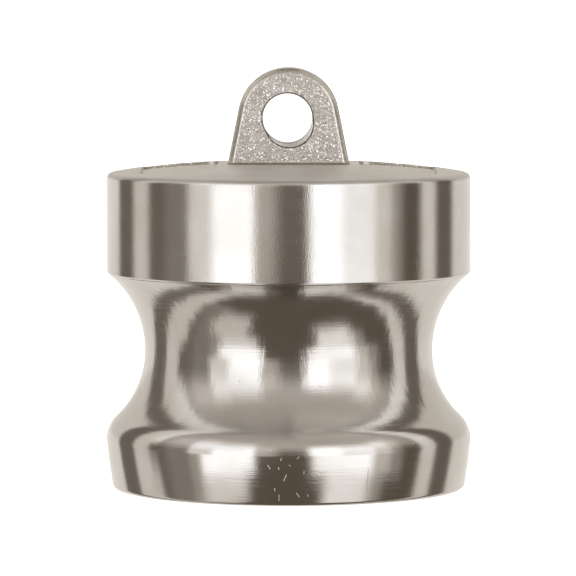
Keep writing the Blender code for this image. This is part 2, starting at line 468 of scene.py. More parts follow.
def cast_lug():
    half = LUG_THICKNESS / 2 + 2 * MM
    foot_x = lug_half_width(TOP_HEIGHT) + 2 * MM
    low, high = TOP_HEIGHT - TOP_WALL / 2, TOP_HEIGHT - 0.03 * MM
    corners = [(-foot_x, low), (foot_x, low), (foot_x, high), (-foot_x, high)]
    slab = [[(x, y, z) for x, z in corners] for y in (-half, half)]
    lug = link_object("lug_blank", loft("lug_blank", lug_rings()))
    foot_slab = link_object("lug_foot", loft("lug_foot", slab))
    boolean(lug, foot_slab, "UNION")
    remesh = lug.modifiers.new("melt together", "REMESH")
    remesh.mode = "VOXEL"
    remesh.voxel_size = LUG_VOXEL
    soften = lug.modifiers.new("soften", "SMOOTH")
    soften.factor = 0.5
    soften.iterations = LUG_SMOOTHING
    mesh = plain_mesh(lug)
    bpy.data.objects.remove(foot_slab)
    return mesh


lug_mesh = outward(cast_lug())

# %% [markdown]
# ## The pockets in the top
#
# Beside the lug lie two shallow pockets, left as cast when the rest of the top was turned. On such
# parts they hold cast lettering, which this part leaves out. Each pocket needs a cutter whose
# lower face follows the crowned top at the pocket's depth. It is a loft: one slice for each place
# across the pocket, shorter where its corners are rounded. The lower face gets many rows, so that
# it can carry the rough skin.

# %% Pocket cutters
POCKET_ROW = 0.3 * MM
POCKET_CLEARANCE = 3 * MM


def pocket_slices():
    """(x, half length along y) of each slice, with the pocket's corners rounded."""
    half = POCKET_LENGTH / 2
    inner = lug_half_width(TOP_HEIGHT) + LUG_LAND
    outer = math.sqrt((HEAD_RADIUS - RIM_ROUND - RIM_LAND) ** 2 - half**2)
    straight = half - POCKET_CORNER
    inner_centre = (inner + POCKET_CORNER, straight)
    outer_centre = (outer - POCKET_CORNER, straight)
    inner_corner = arc(inner_centre, POCKET_CORNER, math.pi, math.pi / 2, 8)
    outer_corner = arc(outer_centre, POCKET_CORNER, math.pi / 2, 0.0, 8)
    steps = round((outer - inner - 2 * POCKET_CORNER) / POCKET_ROW)
    return inner_corner + divided(inner_corner[-1], outer_corner[0], steps) + outer_corner


def pocket_cutter(name, side):
    rows = round(POCKET_LENGTH / POCKET_ROW)
    rings = []
    for x, half in pocket_slices():
        ys = [half * (2 * row / rows - 1) for row in range(rows + 1)]
        floor = [(side * x, y, crown_height(math.hypot(x, y)) - POCKET_DEPTH) for y in ys]
        roof = [(side * x, y, TOP_HEIGHT + POCKET_CLEARANCE) for y in (half, -half)]
        rings.append(floor + roof)
    return outward(loft(name, rings))


pocket_meshes = [pocket_cutter("pocket_left", -1), pocket_cutter("pocket_right", 1)]

# %% [markdown]
# ## The shot-blasted skin
#
# Investment casting copies the grain of the mould's first ceramic coat, and shot blasting after
# it hammers small craters into the steel. Both are real shape: the light catches single facets.
# A bump map alone would leave the silhouette and the stored mesh smooth, so a Geometry Nodes tree
# moves the points along their normals, by a coarse and a fine noise. It holds back where the
# surface turns away from the flat faces, because the rounded edges of a casting come out smoother,
# and near the foot, where the lug has to meet the turned top in a clean line. The tree also
# stores how far each point is rounded off, for the finish to read.

# %% The skin tree
def skin_tree():
    tree = new_tree("cast skin")
    socket(tree, "Grain Height", "Float", 0.0)
    socket(tree, "Grain Width", "Float", 1.0)
    socket(tree, "Blast Width", "Float", 1.0)
    socket(tree, "Seed", "Float", 0.0)
    socket(tree, "Facing", "Vector", (0.0, 1.0, 0.0))
    socket(tree, "Clear Height", "Float", 0.0)
    socket(tree, "Fade", "Float", 1.0)
    socket(tree, "Cast Finish", "Material")
    given = node(tree, "NodeGroupInput").outputs
    normal = node(tree, "GeometryNodeInputNormal")
    place = node(tree, "GeometryNodeInputPosition")
    turn = node(tree, "ShaderNodeVectorMath", {0: normal, 1: given["Facing"]}, operation="DOT_PRODUCT")
    flatness = node(tree, "ShaderNodeMath", {0: turn.outputs["Value"]}, operation="ABSOLUTE")
    on_face = node(
        tree,
        "ShaderNodeMapRange",
        {"Value": flatness, "From Min": 0.93, "From Max": 0.995, "To Min": 0.2, "To Max": 1.0},
        interpolation_type="SMOOTHSTEP",
    )
    height = node(tree, "ShaderNodeSeparateXYZ", {0: place}).outputs["Z"]
    fade_end = node(tree, "ShaderNodeMath", {0: given["Clear Height"], 1: given["Fade"]})
    above = node(
        tree,
        "ShaderNodeMapRange",
        {"Value": height, "From Min": given["Clear Height"], "From Max": fade_end},
        interpolation_type="SMOOTHSTEP",
    )
    masks = node(tree, "ShaderNodeMath", {0: on_face, 1: above}, operation="MULTIPLY")
    parts = []
    for width, share in (("Grain Width", 1.0), ("Blast Width", 0.8)):
        scale = node(tree, "ShaderNodeMath", {0: 1.0, 1: given[width]}, operation="DIVIDE")
        ripple = node(
            tree,
            "ShaderNodeTexNoise",
            {"W": given["Seed"], "Scale": scale, "Detail": 1.0, "Roughness": 0.5},
            noise_dimensions="4D",
        )
        centred = node(tree, "ShaderNodeMath", {0: ripple, 1: 0.5}, operation="SUBTRACT")
        parts.append(node(tree, "ShaderNodeMath", {0: centred, 1: 2.0 * share}, operation="MULTIPLY"))
    both = node(tree, "ShaderNodeMath", {0: parts[0], 1: parts[1]})
    held = node(tree, "ShaderNodeMath", {0: both, 1: masks}, operation="MULTIPLY")
    reach = node(tree, "ShaderNodeMath", {0: held, 1: given["Grain Height"]}, operation="MULTIPLY")
    push = node(tree, "ShaderNodeVectorMath", {0: normal, "Scale": reach}, operation="SCALE")
    worn = node(
        tree,
        "ShaderNodeMapRange",
        {"Value": flatness, "From Min": 0.95, "From Max": 0.99, "To Min": 1.0, "To Max": 0.0},
        interpolation_type="SMOOTHSTEP",
    )
    marked = node(
        tree,
        "GeometryNodeStoreNamedAttribute",
        {"Geometry": given["Geometry"], "Name": "rounded_off", "Value": worn},
        data_type="FLOAT",
        domain="POINT",
    )
    moved = node(tree, "GeometryNodeSetPosition", {"Geometry": marked, "Offset": push})
    realised = node(tree, "GeometryNodeRealizeInstances", {"Geometry": moved})
    values = {"Geometry": realised, "Material": given["Cast Finish"]}
    dressed = node(tree, "GeometryNodeSetMaterial", values)
    node(tree, "NodeGroupOutput", {"Geometry": dressed})
    return tree


# %% Grain on the lug and on the pocket floors
GRAIN_HEIGHT = 0.08 * MM
cast_skin = skin_tree()
lug_skin = bake(
    "lug",
    lug_mesh,
    cast_skin,
    {
        "Grain Height": GRAIN_HEIGHT,
        "Grain Width": 0.9 * MM,
        "Blast Width": 0.42 * MM,
        "Seed": 3.0,
        "Clear Height": TOP_HEIGHT + 0.5 * MM,
        "Fade": 1 * MM,
        "Cast Finish": cast_steel,
    },
)
pocket_skins = []
for index, mesh in enumerate(pocket_meshes):
    settings = {
        "Grain Height": GRAIN_HEIGHT,
        "Grain Width": 1.2 * MM,
        "Blast Width": 0.6 * MM,
        "Seed": 7.0 + index,
        "Facing": (0.0, 0.0, 1.0),
        "Fade": 1 * MM,
        "Cast Finish": cast_steel,
    }
    pocket_skins.append(bake(mesh.name + "_rough", mesh, cast_skin, settings))
print("lug skin:", len(lug_skin.vertices), "points")
print("pocket skins:", [len(skin.vertices) for skin in pocket_skins], "points")

# %% [markdown]
# ## The hole
#
# The hole comes after the skin, because it is drilled: its wall is smooth and its edges are broken
# by a narrow chamfer. The mould left a shallow dish beside it, low on the right of the front, which
# shows as a crescent, and a second, smaller cutter sinks it. Both cutters are lofts of circles,
# each with its own depth and radius.

# %% Drilling
HOLE_CHAMFER = 0.25 * MM
DRILL = {"x": -0.2 * MM, "drop": 0.03 * MM, "radius": LUG_HOLE_RADIUS - 0.12 * MM}
CRESCENT = {"x": 0.12 * MM, "drop": 0.9 * MM, "radius": LUG_HOLE_RADIUS - 0.12 * MM}
CRESCENT_LIP = (0.17 * MM, 0.16 * MM)
CRESCENT_DISH = (0.45 * MM, 1.3 * MM)
BEYOND = 3 * MM


def round_cutter(name, hole, stations, finish):
    """A loft of circles. Each station is a depth and how much wider than the hole it is."""
    centre = (hole["x"], HOLE_HEIGHT - hole["drop"])
    rings = []
    for y, wider in stations:
        circle = arc(centre, hole["radius"] + wider, 0.0, math.tau, 96)[:-1]
        rings.append([(x, y, z) for x, z in circle])
    return link_object(name, loft(name, rings, finish))


def drill_lug():
    half = LUG_THICKNESS / 2
    wide = HOLE_CHAMFER + BEYOND
    drill = [
        (-half - BEYOND, wide),
        (-half + HOLE_CHAMFER, 0.0),
        (half - HOLE_CHAMFER, 0.0),
        (half + BEYOND, wide),
    ]
    lip_depth, lip_width = CRESCENT_LIP
    dish_depth, dish_width = CRESCENT_DISH
    crescent = [
        (-half - BEYOND, 0.0),
        (-half, 0.0),
        (-half + lip_depth, -lip_width),
        (-half + dish_depth, -dish_width),
    ]
    lug = link_object("lug", lug_skin)
    cutters = [
        round_cutter("drill", DRILL, drill, turned_steel),
        round_cutter("crescent", CRESCENT, crescent, turned_steel),
    ]
    for cutter in cutters:
        boolean(lug, cutter, "DIFFERENCE", "MANIFOLD")
        lug.modifiers[-1].material_mode = "TRANSFER"
    mesh = plain_mesh(lug)
    for cutter in cutters:
        bpy.data.objects.remove(cutter)
    return outward(mesh)


drilled_lug = drill_lug()

# %% [markdown]
# ## One casting
#
# The real plug is one piece of steel, so it becomes one closed mesh. Boolean modifiers join the
# lug and sink the pockets. All the meshes are closed, so the fast Manifold solver can do it, and
# it carries each part's own finish over. Edges sharper than a set angle stay crisp.

# %% Joining and smoothing
CRISP_EDGE = math.radians(32)


def one_casting():
    body = link_object("dust_plug_body", turned_body)
    others = [(link_object("lug", drilled_lug), "UNION")]
    others += [(link_object("pocket", mesh), "DIFFERENCE") for mesh in pocket_skins]
    for other, operation in others:
        boolean(body, other, operation, "MANIFOLD")
        body.modifiers[-1].material_mode = "TRANSFER"
    mesh = plain_mesh(body)
    for other, _ in others:
        bpy.data.objects.remove(other)
    return mesh


casting = outward(one_casting())
casting.shade_smooth()
casting.set_sharp_from_angle(angle=CRISP_EDGE)
casting.calc_loop_triangles()
print("one casting:", len(casting.loop_triangles), "triangles,", [m.name for m in casting.materials])

# %% [markdown]
# ## The piece takes the CAD body's place
#
# The plain CAD body stays in the file for the physics, but it is hidden, and the finished casting
# stands for it. The casting's object sits at the origin, and its place is in its mesh.

# %% The finished piece
dust_plug = link_object("dust_plug", casting)
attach(dust_plug, "root")
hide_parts("plug_body")

# %% [markdown]
# ## Turned and buffed stainless steel
#
# The lathe leaves a spiral of fine ridges that run round the part, and buffing takes their tops
# off. The eye sees a warm grey mirror that is sharp from side to side and drawn out up and down,
# with faint rings. Metallic is 1, and the colour is the reflectance of stainless steel. The
# smear comes from anisotropy: the radial tangent runs round the part, and a quarter turn lays
# the smear across the ridges. The fine rings are a noise on radius and height alone, so they
# close round the part. The coarser ones also drift slowly with the way round, as a lathe's spiral
# does, and their two ends meet at the back. In the groove the buffing wheel can't lie flat, so
# the metal there swells a little and carries upright streaks. The top is only faced, not buffed,
# so it is duller.

# %% Where a point is
SMOOTH = {"interpolation_type": "SMOOTHSTEP"}


def between(value, low, high, to_low=0.0, to_high=1.0):
    """Inputs for a Map Range node that takes low..high to to_low..to_high."""
    return {"Value": value, "From Min": low, "From Max": high, "To Min": to_low, "To Max": to_high}


def at_point(tree):
    """A point's place, its height, its distance from the axis, and its angle round from the front."""
    place = node(tree, "ShaderNodeTexCoord").outputs["Object"]
    x, y, z = node(tree, "ShaderNodeSeparateXYZ", {0: place}).outputs
    flat = node(tree, "ShaderNodeCombineXYZ", {"X": x, "Y": y})
    radius = node(tree, "ShaderNodeVectorMath", {0: flat}, operation="LENGTH").outputs["Value"]
    front = node(tree, "ShaderNodeMath", {0: 0.0, 1: y}, operation="SUBTRACT")
    angle = node(tree, "ShaderNodeMath", {0: x, 1: front}, operation="ARCTAN2")
    return place, z, radius, angle


def start_material(material):
    material.use_nodes = True
    tree = material.node_tree
    tree.nodes.clear()
    shader = node(tree, "ShaderNodeBsdfPrincipled", {"Metallic": 1.0})
    node(tree, "ShaderNodeOutputMaterial", {"Surface": shader})
    return tree, shader


# %% [markdown]
# ### Nicks
#
# A plug is dropped and dragged on its chain, and each knock leaves a bright little dent. Painting
# them by hand would need an image. Here each nick is a row of four numbers, and the mask is the
# space close to one short stroke, laid on the turned side as if it were unrolled.

# %% Nicks
# Degrees round from the front, height in mm, half length in mm, and lean from upright in degrees.
NICKS = [
    (-5.4, 9.6, 0.11, 0),
    (-2.3, 8.0, 0.22, 20),
    (-3.0, 6.5, 0.22, -15),
    (-1.1, 4.9, 0.56, 24),
    (-6.0, 6.7, 0.38, -30),
    (-3.0, 1.5, 0.52, 2),
    (-4.3, 2.9, 0.26, -10),
    (2.9, 8.3, 0.22, 40),
    (0.4, 7.0, 0.19, -60),
    (4.7, 5.8, 0.22, 10),
    (2.9, 2.0, 0.45, -35),
    (6.0, 1.9, 0.19, 5),
    (25.2, 4.2, 1.8, 1),
    (41.9, 11.3, 0.15, 0),
    (41.9, 9.8, 0.11, 80),
    (-19.0, 20.4, 0.15, 30),
    (12.0, 19.6, 0.19, -50),
    (98.0, 7.0, 0.6, 30),
    (140.0, 3.1, 0.38, -20),
    (-125.0, 8.1, 0.45, 15),
    (171.0, 43.0, 0.52, -40),
    (-84.0, 41.0, 0.3, 60),
]
NICK_HALF_WIDTH = 0.06 * MM


def nick_mask(tree, z, radius, angle):
    """One in the nicks and zero elsewhere."""
    total = 0.0
    for around, height, half_length, lean in NICKS:
        turn = node(tree, "ShaderNodeMath", {0: angle, 1: math.radians(around)}, operation="SUBTRACT")
        across = node(tree, "ShaderNodeMath", {0: turn, 1: radius}, operation="MULTIPLY")
        up = node(tree, "ShaderNodeMath", {0: z, 1: height * MM}, operation="SUBTRACT")
        offset = node(tree, "ShaderNodeCombineXYZ", {"X": across, "Y": up})
        turned = node(
            tree,
            "ShaderNodeVectorRotate",
            {"Vector": offset, "Angle": math.radians(lean)},
            rotation_type="Z_AXIS",
        )
        local = node(tree, "ShaderNodeSeparateXYZ", {0: turned}).outputs
        length = node(tree, "ShaderNodeMath", {0: local["Y"]}, operation="ABSOLUTE")
        along = node(tree, "ShaderNodeMath", {0: length, 1: half_length * MM}, operation="SUBTRACT")
        past_end = node(tree, "ShaderNodeMath", {0: along, 1: 0.0}, operation="MAXIMUM")
        gap = node(tree, "ShaderNodeCombineXYZ", {"X": local["X"], "Y": past_end})
        distance = node(tree, "ShaderNodeVectorMath", {0: gap}, operation="LENGTH").outputs["Value"]
        mask = node(tree, "ShaderNodeMapRange", between(distance, NICK_HALF_WIDTH, 0.0), **SMOOTH)
        total = node(tree, "ShaderNodeMath", {0: total, 1: mask}, operation="MAXIMUM")
    return total


print(len(NICKS), "nicks")

# %% [markdown]
# ### Painted shade round the hole, and the metal's colour
#
# Painted shade darkens the wall of the hole, where a real bore lies in shade, and a thin painted
# shadow line runs along the lip of the crescent. Both are found by their distance from the axis of
# the cut that made them. The rest of the turned metal only drifts between two close greys.

# %% Colour of the turned steel
STEEL_LIGHT = colour("#CCC9C6")
STEEL_WARM = colour("#C5C1BC")
# Painted shade in the hole: its dark colour, how strongly it darkens the bore's wall, and the width and
# place of the painted shadow line along the crescent's lip.
HOLE_SHADE = colour("#4C453B")
BORE_SHADE = 0.7
BORE_REACH = 0.03 * MM
LIP_LINE = (0.08 * MM, 0.14 * MM)
LIP_FRONT = 0.4 * MM
CLOUD_WIDTH = 9 * MM


def from_hole(tree, place, hole):
    """How far a point is from the axis of one of the lug's round cuts."""
    centre = (hole["x"], 0.0, HOLE_HEIGHT - hole["drop"])
    off = node(tree, "ShaderNodeVectorMath", {0: place, 1: centre}, operation="SUBTRACT")
    across = node(tree, "ShaderNodeVectorMath", {0: off, 1: (1.0, 0.0, 1.0)}, operation="MULTIPLY")
    return node(tree, "ShaderNodeVectorMath", {0: across}, operation="LENGTH").outputs["Value"]


def hole_shade_mask(tree, place):
    """Painted shade on the wall of the hole, and a thin painted shadow line along the crescent's lip."""
    values = {0: from_hole(tree, place, DRILL), 1: DRILL["radius"] + BORE_REACH}
    bore = node(tree, "ShaderNodeMath", values, operation="LESS_THAN")
    on_bore = node(tree, "ShaderNodeMath", {0: bore, 1: BORE_SHADE}, operation="MULTIPLY")
    values = {0: from_hole(tree, place, CRESCENT), 1: CRESCENT["radius"] - CRESCENT_LIP[1] / 2}
    past_lip = node(tree, "ShaderNodeMath", values, operation="SUBTRACT")
    from_lip = node(tree, "ShaderNodeMath", {0: past_lip}, operation="ABSOLUTE")
    near = node(tree, "ShaderNodeMapRange", between(from_lip, *LIP_LINE, 1.0, 0.0), **SMOOTH)
    y = node(tree, "ShaderNodeSeparateXYZ", {0: place}).outputs["Y"]
    front = node(tree, "ShaderNodeMath", {0: y, 1: LIP_FRONT - LUG_THICKNESS / 2}, operation="LESS_THAN")
    on_lip = node(tree, "ShaderNodeMath", {0: near, 1: front}, operation="MULTIPLY")
    return node(tree, "ShaderNodeMath", {0: on_bore, 1: on_lip}, operation="MAXIMUM")


def turned_colour(tree, place, cloud):
    drift = node(tree, "ShaderNodeMapRange", between(cloud, 0.3, 0.7), **SMOOTH)
    values = {"Factor": drift, "A": STEEL_LIGHT, "B": STEEL_WARM}
    unshaded = node(tree, "ShaderNodeMix", values, data_type="RGBA").outputs["Result"]
    # The painted shade of the hole's wall and lip is mixed over the steel's colour here.
    values = {"Factor": hole_shade_mask(tree, place), "A": unshaded, "B": HOLE_SHADE}
    return node(tree, "ShaderNodeMix", values, data_type="RGBA").outputs["Result"]


# %% [markdown]
# ### How dull, and how uneven
#
# Roughness is a sum of shares: the rings, broad clouds left by hand buffing, the faced top, the
# groove and the nicks. The shape that is too fine to model is a chain of Bump nodes, each on the
# normal of the one before: the swell of the groove, the buffing grain, the lathe's ridges and the
# nicks. All their depths are in real millimetres.

# %% Roughness of the turned steel
FACED_ROUGHER = 0.24
GROOVE_ROUGHER = 0.025
NICK_ROUGHER = 0.2
TOP_FADE = (TOP_HEIGHT - 2.4 * MM, TOP_HEIGHT - 1.9 * MM)


def turned_roughness(tree, z, ridges, cloud, nicks, in_groove):
    total = 0.0
    for values in (
        between(ridges, 0.3, 0.7, -0.02, 0.03),
        between(cloud, 0.25, 0.75, 0.1, 0.14),
        between(z, *TOP_FADE, 0.0, FACED_ROUGHER),
    ):
        share = node(tree, "ShaderNodeMapRange", values, **SMOOTH)
        total = node(tree, "ShaderNodeMath", {0: total, 1: share}, operation="ADD")
    for mask, most in ((in_groove, GROOVE_ROUGHER), (nicks, NICK_ROUGHER)):
        share = node(tree, "ShaderNodeMath", {0: mask, 1: most}, operation="MULTIPLY")
        total = node(tree, "ShaderNodeMath", {0: total, 1: share}, operation="ADD")
    return total.outputs[0]


# %% Grain, swell and streaks
# Real lathe ridges are about 0.1 mm apart. Some are drawn three times coarser, so that they show.
RIDGE_SPACING = 0.3 * MM
FINE_RIDGE_SPACING = 0.12 * MM
RIDGE_HEIGHT = 0.008 * MM
RIDGE_DRIFT = 0.04
HEAD_FINER = 0.3
SWELL_WIDTH = 7 * MM
SWELL_HEIGHT = 0.06 * MM
STREAK_WIDTH = 2.4 * MM
STREAK_SHARE = 0.8
STREAK_STRETCH = (1.0, 1.0, 0.3)
# Buffing grain is really finer than 0.1 mm, and is drawn coarser for the same reason.
BUFFING_GRAIN = 0.24 * MM
BUFFING_HEIGHT = 0.012 * MM
FACED_COARSER = 4.0
NOSE_FINER = 0.45
NICK_DEPTH = 0.02 * MM


def groove_swell(tree, place, in_groove):
    values = {"Vector": place, "Scale": 1 / SWELL_WIDTH, "Detail": 1.0}
    swell = node(tree, "ShaderNodeTexNoise", values)
    upright = node(tree, "ShaderNodeVectorMath", {0: place, 1: STREAK_STRETCH}, operation="MULTIPLY")
    values = {"Vector": upright, "Scale": 1 / STREAK_WIDTH, "Detail": 3.0}
    streaks = node(tree, "ShaderNodeTexNoise", values)
    fainter = node(tree, "ShaderNodeMath", {0: streaks, 1: STREAK_SHARE}, operation="MULTIPLY")
    both = node(tree, "ShaderNodeMath", {0: swell, 1: fainter}, operation="ADD")
    return node(tree, "ShaderNodeMath", {0: both, 1: in_groove}, operation="MULTIPLY")


def buffing_grain(tree, place, z, on_head):
    values = {"Vector": place, "Scale": 1 / BUFFING_GRAIN, "Detail": 2.0}
    grain = node(tree, "ShaderNodeTexNoise", values)
    on_top = between(z, *TOP_FADE, 1.0, FACED_COARSER)
    on_nose = between(on_head, 0.0, 1.0, NOSE_FINER, 1.0)
    for values in (on_top, on_nose):
        share = node(tree, "ShaderNodeMapRange", values, **SMOOTH)
        grain = node(tree, "ShaderNodeMath", {0: grain, 1: share}, operation="MULTIPLY")
    return grain


def ridge_height(tree, ridges, fine_ridges, on_head):
    half = node(tree, "ShaderNodeMath", {0: fine_ridges, 1: 0.5}, operation="MULTIPLY")
    both = node(tree, "ShaderNodeMath", {0: ridges, 1: half}, operation="ADD")
    share = node(tree, "ShaderNodeMapRange", between(on_head, 0.0, 1.0, 1.0, HEAD_FINER), **SMOOTH)
    return node(tree, "ShaderNodeMath", {0: both, 1: share}, operation="MULTIPLY")


def stacked_bumps(tree, layers):
    """Each layer is a height, its depth in metres, and whether it goes inwards."""
    below = {}
    for height, distance, inwards in layers:
        values = {"Height": height, "Distance": distance, "Strength": 1.0, **below}
        bump = node(tree, "ShaderNodeBump", values, invert=inwards)
        below = {"Normal": bump}
    return bump.outputs[0]


# %% The turned steel
ANISOTROPY = 0.35
QUARTER_TURN = 0.25


def finish_turned_steel():
    tree, shader = start_material(turned_steel)
    place, z, radius, angle = at_point(tree)
    ring = node(tree, "ShaderNodeCombineXYZ", {"X": radius, "Y": z})
    way_round = node(tree, "ShaderNodeMath", {0: angle, 1: radius}, operation="MULTIPLY")
    drift = node(tree, "ShaderNodeMath", {0: way_round, 1: RIDGE_DRIFT}, operation="MULTIPLY")
    open_ring = node(tree, "ShaderNodeCombineXYZ", {"X": radius, "Y": z, "Z": drift})
    values = {"Vector": open_ring, "Scale": 1 / RIDGE_SPACING, "Detail": 3.0}
    ridges = node(tree, "ShaderNodeTexNoise", values)
    values = {"Vector": ring, "Scale": 1 / FINE_RIDGE_SPACING, "Detail": 1.0}
    fine_ridges = node(tree, "ShaderNodeTexNoise", values, noise_dimensions="2D")
    values = {"Vector": place, "Scale": 1 / CLOUD_WIDTH, "Detail": 3.0}
    cloud = node(tree, "ShaderNodeTexNoise", values)
    nicks = nick_mask(tree, z, radius, angle)

    values = between(z, HEAD_EDGE_HEIGHT - 0.2 * MM, HEAD_EDGE_HEIGHT)
    on_head = node(tree, "ShaderNodeMapRange", values, **SMOOTH)
    above_nose = node(tree, "ShaderNodeMapRange", between(z, 11 * MM, 16 * MM), **SMOOTH)
    below_head = node(tree, "ShaderNodeMapRange", between(on_head, 1.0, 0.0), **SMOOTH)
    in_groove = node(tree, "ShaderNodeMath", {0: above_nose, 1: below_head}, operation="MULTIPLY")

    tree.links.new(turned_colour(tree, place, cloud), shader.inputs["Base Color"])
    roughness = turned_roughness(tree, z, ridges, cloud, nicks, in_groove)
    tree.links.new(roughness, shader.inputs["Roughness"])
    layers = [
        (groove_swell(tree, place, in_groove), SWELL_HEIGHT, False),
        (buffing_grain(tree, place, z, on_head), BUFFING_HEIGHT, False),
        (ridge_height(tree, ridges, fine_ridges, on_head), RIDGE_HEIGHT, False),
        (nicks, NICK_DEPTH, True),
    ]
    tree.links.new(stacked_bumps(tree, layers), shader.inputs["Normal"])

    shader.inputs["Anisotropic"].default_value = ANISOTROPY
    shader.inputs["Anisotropic Rotation"].default_value = QUARTER_TURN
    tangent = node(tree, "ShaderNodeTangent", direction_type="RADIAL", axis="Z")
    tree.links.new(tangent.outputs[0], shader.inputs["Tangent"])
    print(turned_steel.name, "has", len(tree.nodes), "nodes")


finish_turned_steel()

# %% [markdown]
# ## Cast and shot-blasted stainless steel
#
# Blasting with fine steel shot leaves a skin of tiny overlapping craters, and pickling takes the
# scale off. The eye sees a matt warm grey that sparkles, because single craters catch the lamps.
# The larger grain is already real shape. The shader adds the craters that are too small for it:
# each Voronoi cell leans its own way and has its own roughness, so a few cells flash while most
# stay grey. Where the casting is rounded off it is smoother, and at the lug's foot, where it meets
# the turned top, a darker colour is painted in as shade.

# %% Craters that flash
# Real craters are about 0.1 mm across, and are drawn twice as wide so that they show.
CRATER_WIDTH = 0.19 * MM
CRATER_TILT = (0.6, 0.6, 0.25)
FINE_CRATER_WIDTH = 0.16 * MM
FINE_CRATER_DEPTH = 0.018 * MM
PATCH_WIDTH = 2.5 * MM
RAGGED_WIDTH = 0.5 * MM
SPARK_RANGE = (0.72, 0.84)
FLASHING_LEAN = 0.8
CRATER_LEAN = 0.2


def rounded_mask(tree, place):
    """One where the casting is rounded off, with a ragged border."""
    worn = node(tree, "ShaderNodeAttribute", attribute_name="rounded_off").outputs["Fac"]
    values = {"Vector": place, "Scale": 1 / RAGGED_WIDTH, "Detail": 2.0}
    patchy = node(tree, "ShaderNodeTexNoise", values)
    shift = node(tree, "ShaderNodeMapRange", between(patchy, 0.3, 0.7, -0.5, 0.5), **SMOOTH)
    ragged = node(tree, "ShaderNodeMath", {0: worn, 1: shift}, operation="ADD")
    return node(tree, "ShaderNodeMapRange", between(ragged, 0.3, 0.7), **SMOOTH)


def crater_normal(tree, cells, flashing, rough_skin):
    """The surface's own normal, leant a little in every cell and a lot in a flashing one."""
    values = {0: cells, 1: (0.5, 0.5, 0.5)}
    centred = node(tree, "ShaderNodeVectorMath", values, operation="SUBTRACT")
    tilt = node(tree, "ShaderNodeVectorMath", {0: centred, 1: CRATER_TILT}, operation="MULTIPLY")
    much = node(tree, "ShaderNodeMath", {0: flashing, 1: FLASHING_LEAN}, operation="MULTIPLY")
    little = node(tree, "ShaderNodeMath", {0: rough_skin, 1: CRATER_LEAN}, operation="MULTIPLY")
    reach = node(tree, "ShaderNodeMath", {0: much, 1: little}, operation="ADD")
    leaning = node(tree, "ShaderNodeVectorMath", {0: tilt, "Scale": reach}, operation="SCALE")
    straight = node(tree, "ShaderNodeNewGeometry").outputs["Normal"]
    leant = node(tree, "ShaderNodeVectorMath", {0: straight, 1: leaning}, operation="ADD")
    return node(tree, "ShaderNodeVectorMath", {0: leant}, operation="NORMALIZE")


# %% Colour and roughness of the cast steel
CAST_LIGHT = colour("#DAD6D1")
CAST_DARK = colour("#C9C4BD")
# Painted shade at the lug's foot, where it meets the turned top: its colour and how strongly it darkens.
FOOT_SHADE = colour("#8A7F72")
FOOT_SHADE_SHARE = 0.8
ROUNDED_ROUGHNESS = 0.24
BLASTED_ROUGHNESS = 0.52
SPARK_ROUGHNESS = 0.15


def cast_colour(tree, z, fine, patches):
    both = node(tree, "ShaderNodeMath", {0: fine, 1: patches}, operation="ADD")
    tone = node(tree, "ShaderNodeMath", {0: both, 1: 0.6}, operation="MULTIPLY")
    shade = node(tree, "ShaderNodeMapRange", between(tone, 0.42, 0.78), **SMOOTH)
    values = {"Factor": shade, "A": CAST_DARK, "B": CAST_LIGHT}
    unshaded = node(tree, "ShaderNodeMix", values, data_type="RGBA").outputs["Result"]
    # A painted shade darkens the lug just above its foot, where it meets the turned top.
    values = between(z, TOP_HEIGHT + 0.5 * MM, TOP_HEIGHT + 0.1 * MM, 0.0, FOOT_SHADE_SHARE)
    low = node(tree, "ShaderNodeMapRange", values, **SMOOTH)
    above = node(tree, "ShaderNodeMath", {0: z, 1: TOP_HEIGHT - 0.1 * MM}, operation="GREATER_THAN")
    foot = node(tree, "ShaderNodeMath", {0: low, 1: above}, operation="MULTIPLY")
    values = {"Factor": foot, "A": unshaded, "B": FOOT_SHADE}
    return node(tree, "ShaderNodeMix", values, data_type="RGBA").outputs["Result"]


def cast_roughness(tree, patches, flashing, rounded):
    values = between(flashing, 0.0, 1.0, BLASTED_ROUGHNESS, SPARK_ROUGHNESS)
    matt = node(tree, "ShaderNodeMapRange", values, **SMOOTH)
    uneven = node(tree, "ShaderNodeMapRange", between(patches, 0.3, 0.7, -0.03, 0.05), **SMOOTH)
    blasted = node(tree, "ShaderNodeMath", {0: matt, 1: uneven}, operation="ADD")
    lower = node(tree, "ShaderNodeMath", {0: ROUNDED_ROUGHNESS, 1: blasted}, operation="SUBTRACT")
    change = node(tree, "ShaderNodeMath", {0: rounded, 1: lower}, operation="MULTIPLY")
    return node(tree, "ShaderNodeMath", {0: blasted, 1: change}, operation="ADD").outputs[0]


